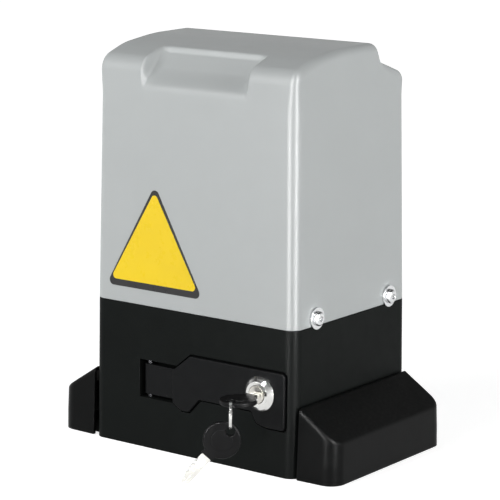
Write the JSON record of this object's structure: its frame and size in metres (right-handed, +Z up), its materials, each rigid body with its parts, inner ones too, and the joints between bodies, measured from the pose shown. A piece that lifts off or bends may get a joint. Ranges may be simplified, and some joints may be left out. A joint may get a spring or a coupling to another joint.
{
  "type": "sliding gate motor",
  "caption": "Electric sliding gate opener: grey lift-off hood on a black geared base with foot covers, a keyed release lever and a rear rack pinion.",
  "frame": {"origin": "centre of the base on the mounting surface", "axes": "+Z up; the release lever faces -Y and the output pinion faces +Y; +X is to the right seen from the front"},
  "size_m": [0.2652, 0.2462, 0.3141],
  "materials": {
    "hood_grey": "light grey moulded plastic, fine satin",
    "decal_dark": "black printed film",
    "decal_yellow": "yellow printed film",
    "black_cast": "black powder coat on cast aluminium",
    "black_plastic": "black moulded plastic",
    "lever_black": "black glass-filled plastic, fine grain",
    "lock_chrome": "polished chrome",
    "lock_nickel": "nickel plate",
    "key_black": "black moulded grip",
    "key_nickel": "nickel-plated brass",
    "ring_steel": "bright spring wire",
    "bright_steel": "stainless steel",
    "zinc_steel": "zinc plate",
    "zinc_sheet": "zinc-plated sheet",
    "cast_aluminium": "as-cast aluminium",
    "machined_steel": "turned steel",
    "pinion_steel": "cut steel, light oil",
    "spring_steel": "blackened spring steel",
    "bearing_steel": "ground bearing steel",
    "lamination_steel": "stacked laminations",
    "bronze": "cast bronze",
    "copper_wire": "enamelled copper wire",
    "black_rubber": "nitrile rubber",
    "capacitor_white": "white plastic can",
    "coil_tape": "amber winding tape",
    "board_green": "green solder mask",
    "rail_plastic": "dark grey plastic",
    "relay_blue": "blue relay cases",
    "terminal_green": "green terminal block"
  },
  "bodies": {
    "base": {"hood_seal": "black_rubber", "base_housing": "black_cast", "hood_screws": "bright_steel", "hood_washers": "bright_steel", "levelling_screws": "zinc_steel", "lever_pin": "zinc_steel", "gearbox_body": "cast_aluminium", "gearbox_cover": "cast_aluminium", "gearbox_screws": "zinc_steel", "gearbox_feet_screws": "zinc_steel", "output_bearing_front": "bearing_steel", "output_bearing_rear": "bearing_steel", "oil_seal": "black_rubber", "worm_bearing_lower": "bearing_steel", "worm_bearing_upper": "bearing_steel", "motor_bearing": "bearing_steel", "motor_flange": "cast_aluminium", "motor_housing": "cast_aluminium", "motor_cap": "cast_aluminium", "stator_core": "lamination_steel", "stator_winding": "copper_wire", "motor_screws": "zinc_steel", "component_tray": "zinc_sheet", "tray_screws": "zinc_steel", "run_capacitor": "capacitor_white", "capacitor_clamp": "zinc_sheet", "transformer_core": "lamination_steel", "transformer_coil": "coil_tape", "control_board": "board_green", "board_rails": "rail_plastic", "relays": "relay_blue", "terminal_strip": "terminal_green", "fuse_holder": "black_plastic", "limit_sensor": "rail_plastic"},
    "hood": {"hood": "hood_grey", "blank_decal": "decal_dark", "decal_field": "decal_yellow"},
    "left_cover": {"foot_cover_left": "black_plastic"},
    "right_cover": {"foot_cover_right": "black_plastic"},
    "lever": {"release_lever": "lever_black", "lock_barrel": "lock_chrome", "lock_nut": "zinc_steel"},
    "plug": {"lock_plug": "lock_nickel", "lock_cam": "zinc_steel", "lock_cam_screw": "zinc_steel"},
    "key": {"key_bow": "key_black", "key_blade": "key_nickel"},
    "ring": {"key_ring": "ring_steel"},
    "spare_key": {"spare_key_bow": "key_black", "spare_key_blade": "key_nickel"},
    "rod": {"release_rod": "zinc_steel"},
    "output": {"output_shaft": "machined_steel", "worm_wheel": "bronze", "output_pinion": "pinion_steel", "pinion_key": "machined_steel", "pinion_clip": "spring_steel", "release_spring": "zinc_steel"},
    "rotor": {"rotor_shaft": "machined_steel", "rotor_core": "lamination_steel"}
  },
  "joints": [
    {"name": "hood_lift", "type": "slide", "parent": "base", "child": "hood", "axis": [0, 0, 1], "range_m": [0, 0.21]},
    {"name": "left_cover_pull", "type": "slide", "parent": "base", "child": "left_cover", "axis": [-1, 0, 0], "range_m": [0, 0.045]},
    {"name": "right_cover_pull", "type": "slide", "parent": "base", "child": "right_cover", "axis": [1, 0, 0], "range_m": [0, 0.045]},
    {"name": "lever_swing", "type": "hinge", "parent": "base", "child": "lever", "pos_m": [-0.0445, -0.06919, 0.05465], "axis": [0, 0, -1], "range_deg": [0, 90]},
    {"name": "plug_turn", "type": "hinge", "parent": "lever", "child": "plug", "pos_m": [0.0666, -0.07, 0.0618], "axis": [0, 1, 0], "range_deg": [0, 90]},
    {"name": "key_pull", "type": "slide", "parent": "plug", "child": "key", "axis": [0, -1, 0], "range_m": [0, 0.036]},
    {"name": "ring_swing", "type": "hinge", "parent": "key", "child": "ring", "pos_m": [0.06921, -0.11617, 0.0618], "axis": [-0.7997, -0.6004, 0], "range_deg": [0, 80]},
    {"name": "spare_key_swing", "type": "hinge", "parent": "ring", "child": "spare_key", "pos_m": [0.0699, -0.11709, 0.04505], "axis": [-0.6004, 0.7997, 0], "range_deg": [0, 70]},
    {"name": "rod_slide", "type": "slide", "parent": "base", "child": "rod", "axis": [0, -1, 0], "range_m": [0, 0.005]},
    {"name": "output_turn", "type": "hinge", "parent": "base", "child": "output", "pos_m": [-0.004, 0, 0.058], "axis": [0, 1, 0], "continuous": true},
    {"name": "rotor_turn", "type": "hinge", "parent": "base", "child": "rotor", "pos_m": [0.038, 0, 0.1], "axis": [0, 0, 1], "continuous": true}
  ],
  "couplings": [
    {"joint": "rod_slide", "follows": "lever_swing", "m_per_rad": 0.0031831},
    {"joint": "rotor_turn", "follows": "output_turn", "ratio": 30}
  ]
}
